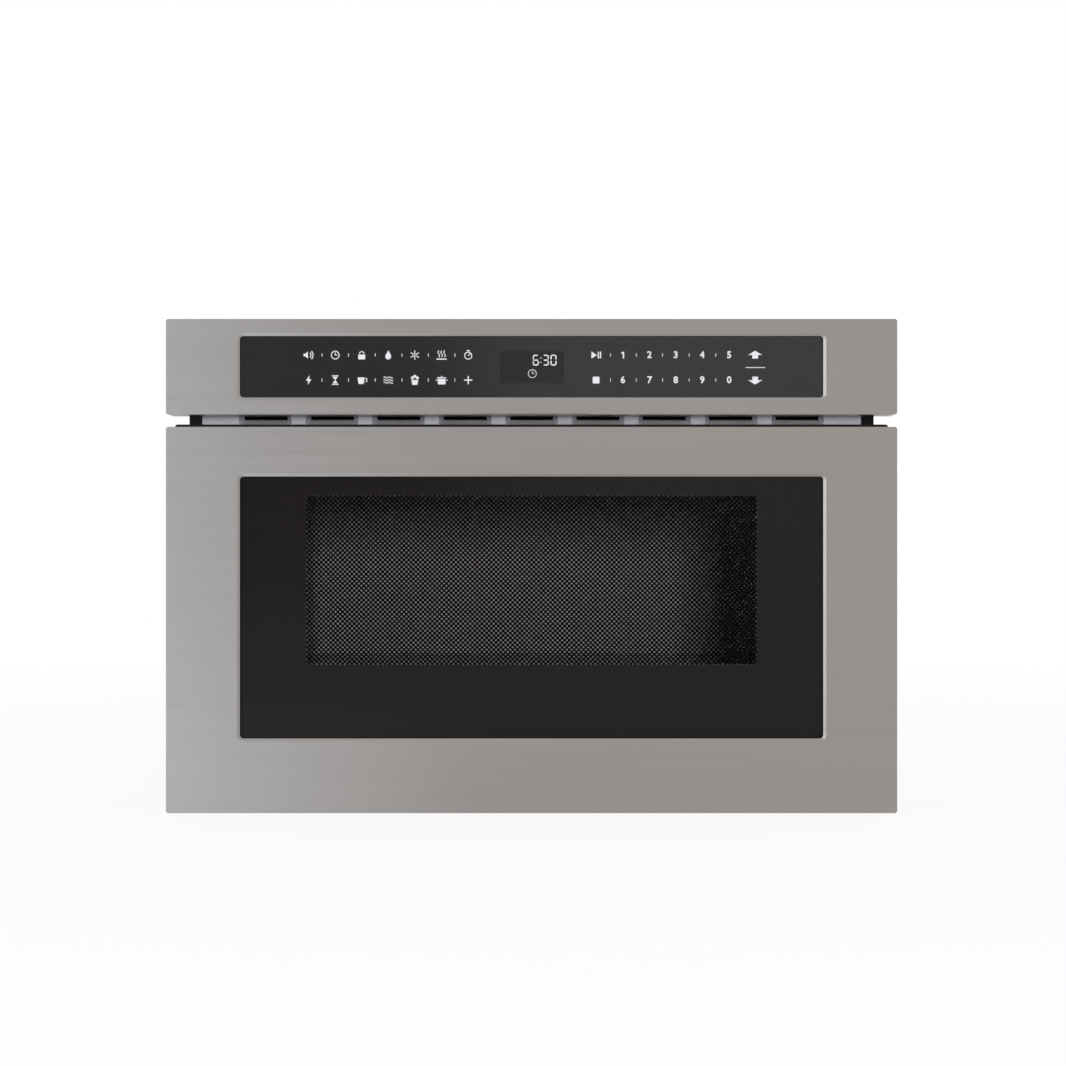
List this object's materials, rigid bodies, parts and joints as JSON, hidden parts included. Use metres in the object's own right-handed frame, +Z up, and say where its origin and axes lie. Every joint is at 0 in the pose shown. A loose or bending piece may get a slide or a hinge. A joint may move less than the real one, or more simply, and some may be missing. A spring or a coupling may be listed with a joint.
{
  "type": "microwave drawer",
  "caption": "Built-in microwave drawer: windowed door and tub on telescopic slides with a rack drive, control panel above and a sheet steel chassis behind.",
  "frame": {"origin": "centre of the underside of the base pan, on the platform that the unit stands on", "axes": "+Z up, +X to the right of someone facing the door, +Y to the rear, so the door faces -Y"},
  "size_m": [0.6064, 0.6155, 0.4098],
  "materials": {
    "face_steel": "fine horizontal brushing, satin",
    "panel_glass": "dark smoked glass with a polished face",
    "door_glass": "dark smoked glass with a black printed border",
    "clear_glass": "clear, polished",
    "ceramic_floor": "dark glass ceramic, satin",
    "black_plastic": "black, fine grain",
    "white_plastic": "natural nylon, satin",
    "zinc_steel": "galvanised sheet with faint spangle",
    "black_steel": "black coated steel",
    "cavity_steel": "ferritic stainless sheet, satin",
    "circuit_board": "green solder mask",
    "laminations": "varnished laminations",
    "aluminium": "plain mill finish"
  },
  "bodies": {
    "chassis": {"base_pan": "zinc_steel", "outer_case": "zinc_steel", "rear_panel": "zinc_steel", "cord_inlet": "black_plastic", "front_plate": "cavity_steel", "vent_plate": "zinc_steel", "oven_cavity": "cavity_steel", "cavity_support": "zinc_steel", "control_bezel": "face_steel", "control_glass": "panel_glass", "control_housing": "black_plastic", "touch_board": "circuit_board", "display_module": "black_plastic", "waveguide": "aluminium", "magnetron": "aluminium", "stirrer_motor": "black_plastic", "stirrer_cover": "white_plastic", "fan_shroud": "zinc_steel", "fan_motor": "laminations", "hv_transformer": "laminations", "hv_capacitor": "aluminium", "power_board": "circuit_board", "cavity_lamp": "zinc_steel", "thermal_cutout": "black_plastic", "drive_motor": "laminations", "rack_guide": "white_plastic", "left_mounting_flange": "black_steel", "left_slide_bracket": "zinc_steel", "left_slide_outer": "zinc_steel", "left_interlock_switch": "black_plastic", "right_mounting_flange": "black_steel", "right_slide_bracket": "zinc_steel", "right_slide_outer": "zinc_steel", "right_interlock_switch": "black_plastic"},
    "drawer": {"door_skin": "face_steel", "door_glass": "door_glass", "door_mesh": "black_steel", "choke_frame": "zinc_steel", "inner_window": "clear_glass", "door_liner": "black_plastic", "drawer_tub": "cavity_steel", "tub_floor_glass": "ceramic_floor", "drive_rack": "white_plastic", "left_slide_inner": "zinc_steel", "left_side_arm": "zinc_steel", "left_latch_hook": "black_plastic", "right_slide_inner": "zinc_steel", "right_side_arm": "zinc_steel", "right_latch_hook": "black_plastic"},
    "slide_middles": {"left_slide_middle": "zinc_steel", "right_slide_middle": "zinc_steel"},
    "pinion": {"drive_pinion": "white_plastic"},
    "fan": {"fan_rotor": "white_plastic"},
    "stirrer": {"stirrer_blades": "aluminium"}
  },
  "joints": [
    {"name": "drawer_slide", "type": "slide", "parent": "chassis", "child": "drawer", "axis": [0, -1, 0], "range_m": [0, 0.385]},
    {"name": "slide_middle_slide", "type": "slide", "parent": "chassis", "child": "slide_middles", "axis": [0, -1, 0], "range_m": [0, 0.1925]},
    {"name": "pinion_spin", "type": "hinge", "parent": "chassis", "child": "pinion", "pos_m": [0.06, -0.2275, 0.036], "axis": [0, 0, 1], "range_deg": [0, 1226]},
    {"name": "fan_spin", "type": "hinge", "parent": "chassis", "child": "fan", "pos_m": [-0.114, 0.2229, 0.228], "axis": [1, 0, 0], "continuous": true},
    {"name": "stirrer_spin", "type": "hinge", "parent": "chassis", "child": "stirrer", "pos_m": [0, -0.0642, 0.275], "axis": [0, 0, 1], "continuous": true}
  ],
  "couplings": [
    {"joint": "slide_middle_slide", "follows": "drawer_slide", "ratio": 0.5},
    {"joint": "pinion_spin", "follows": "drawer_slide", "rad_per_m": 55.556}
  ]
}
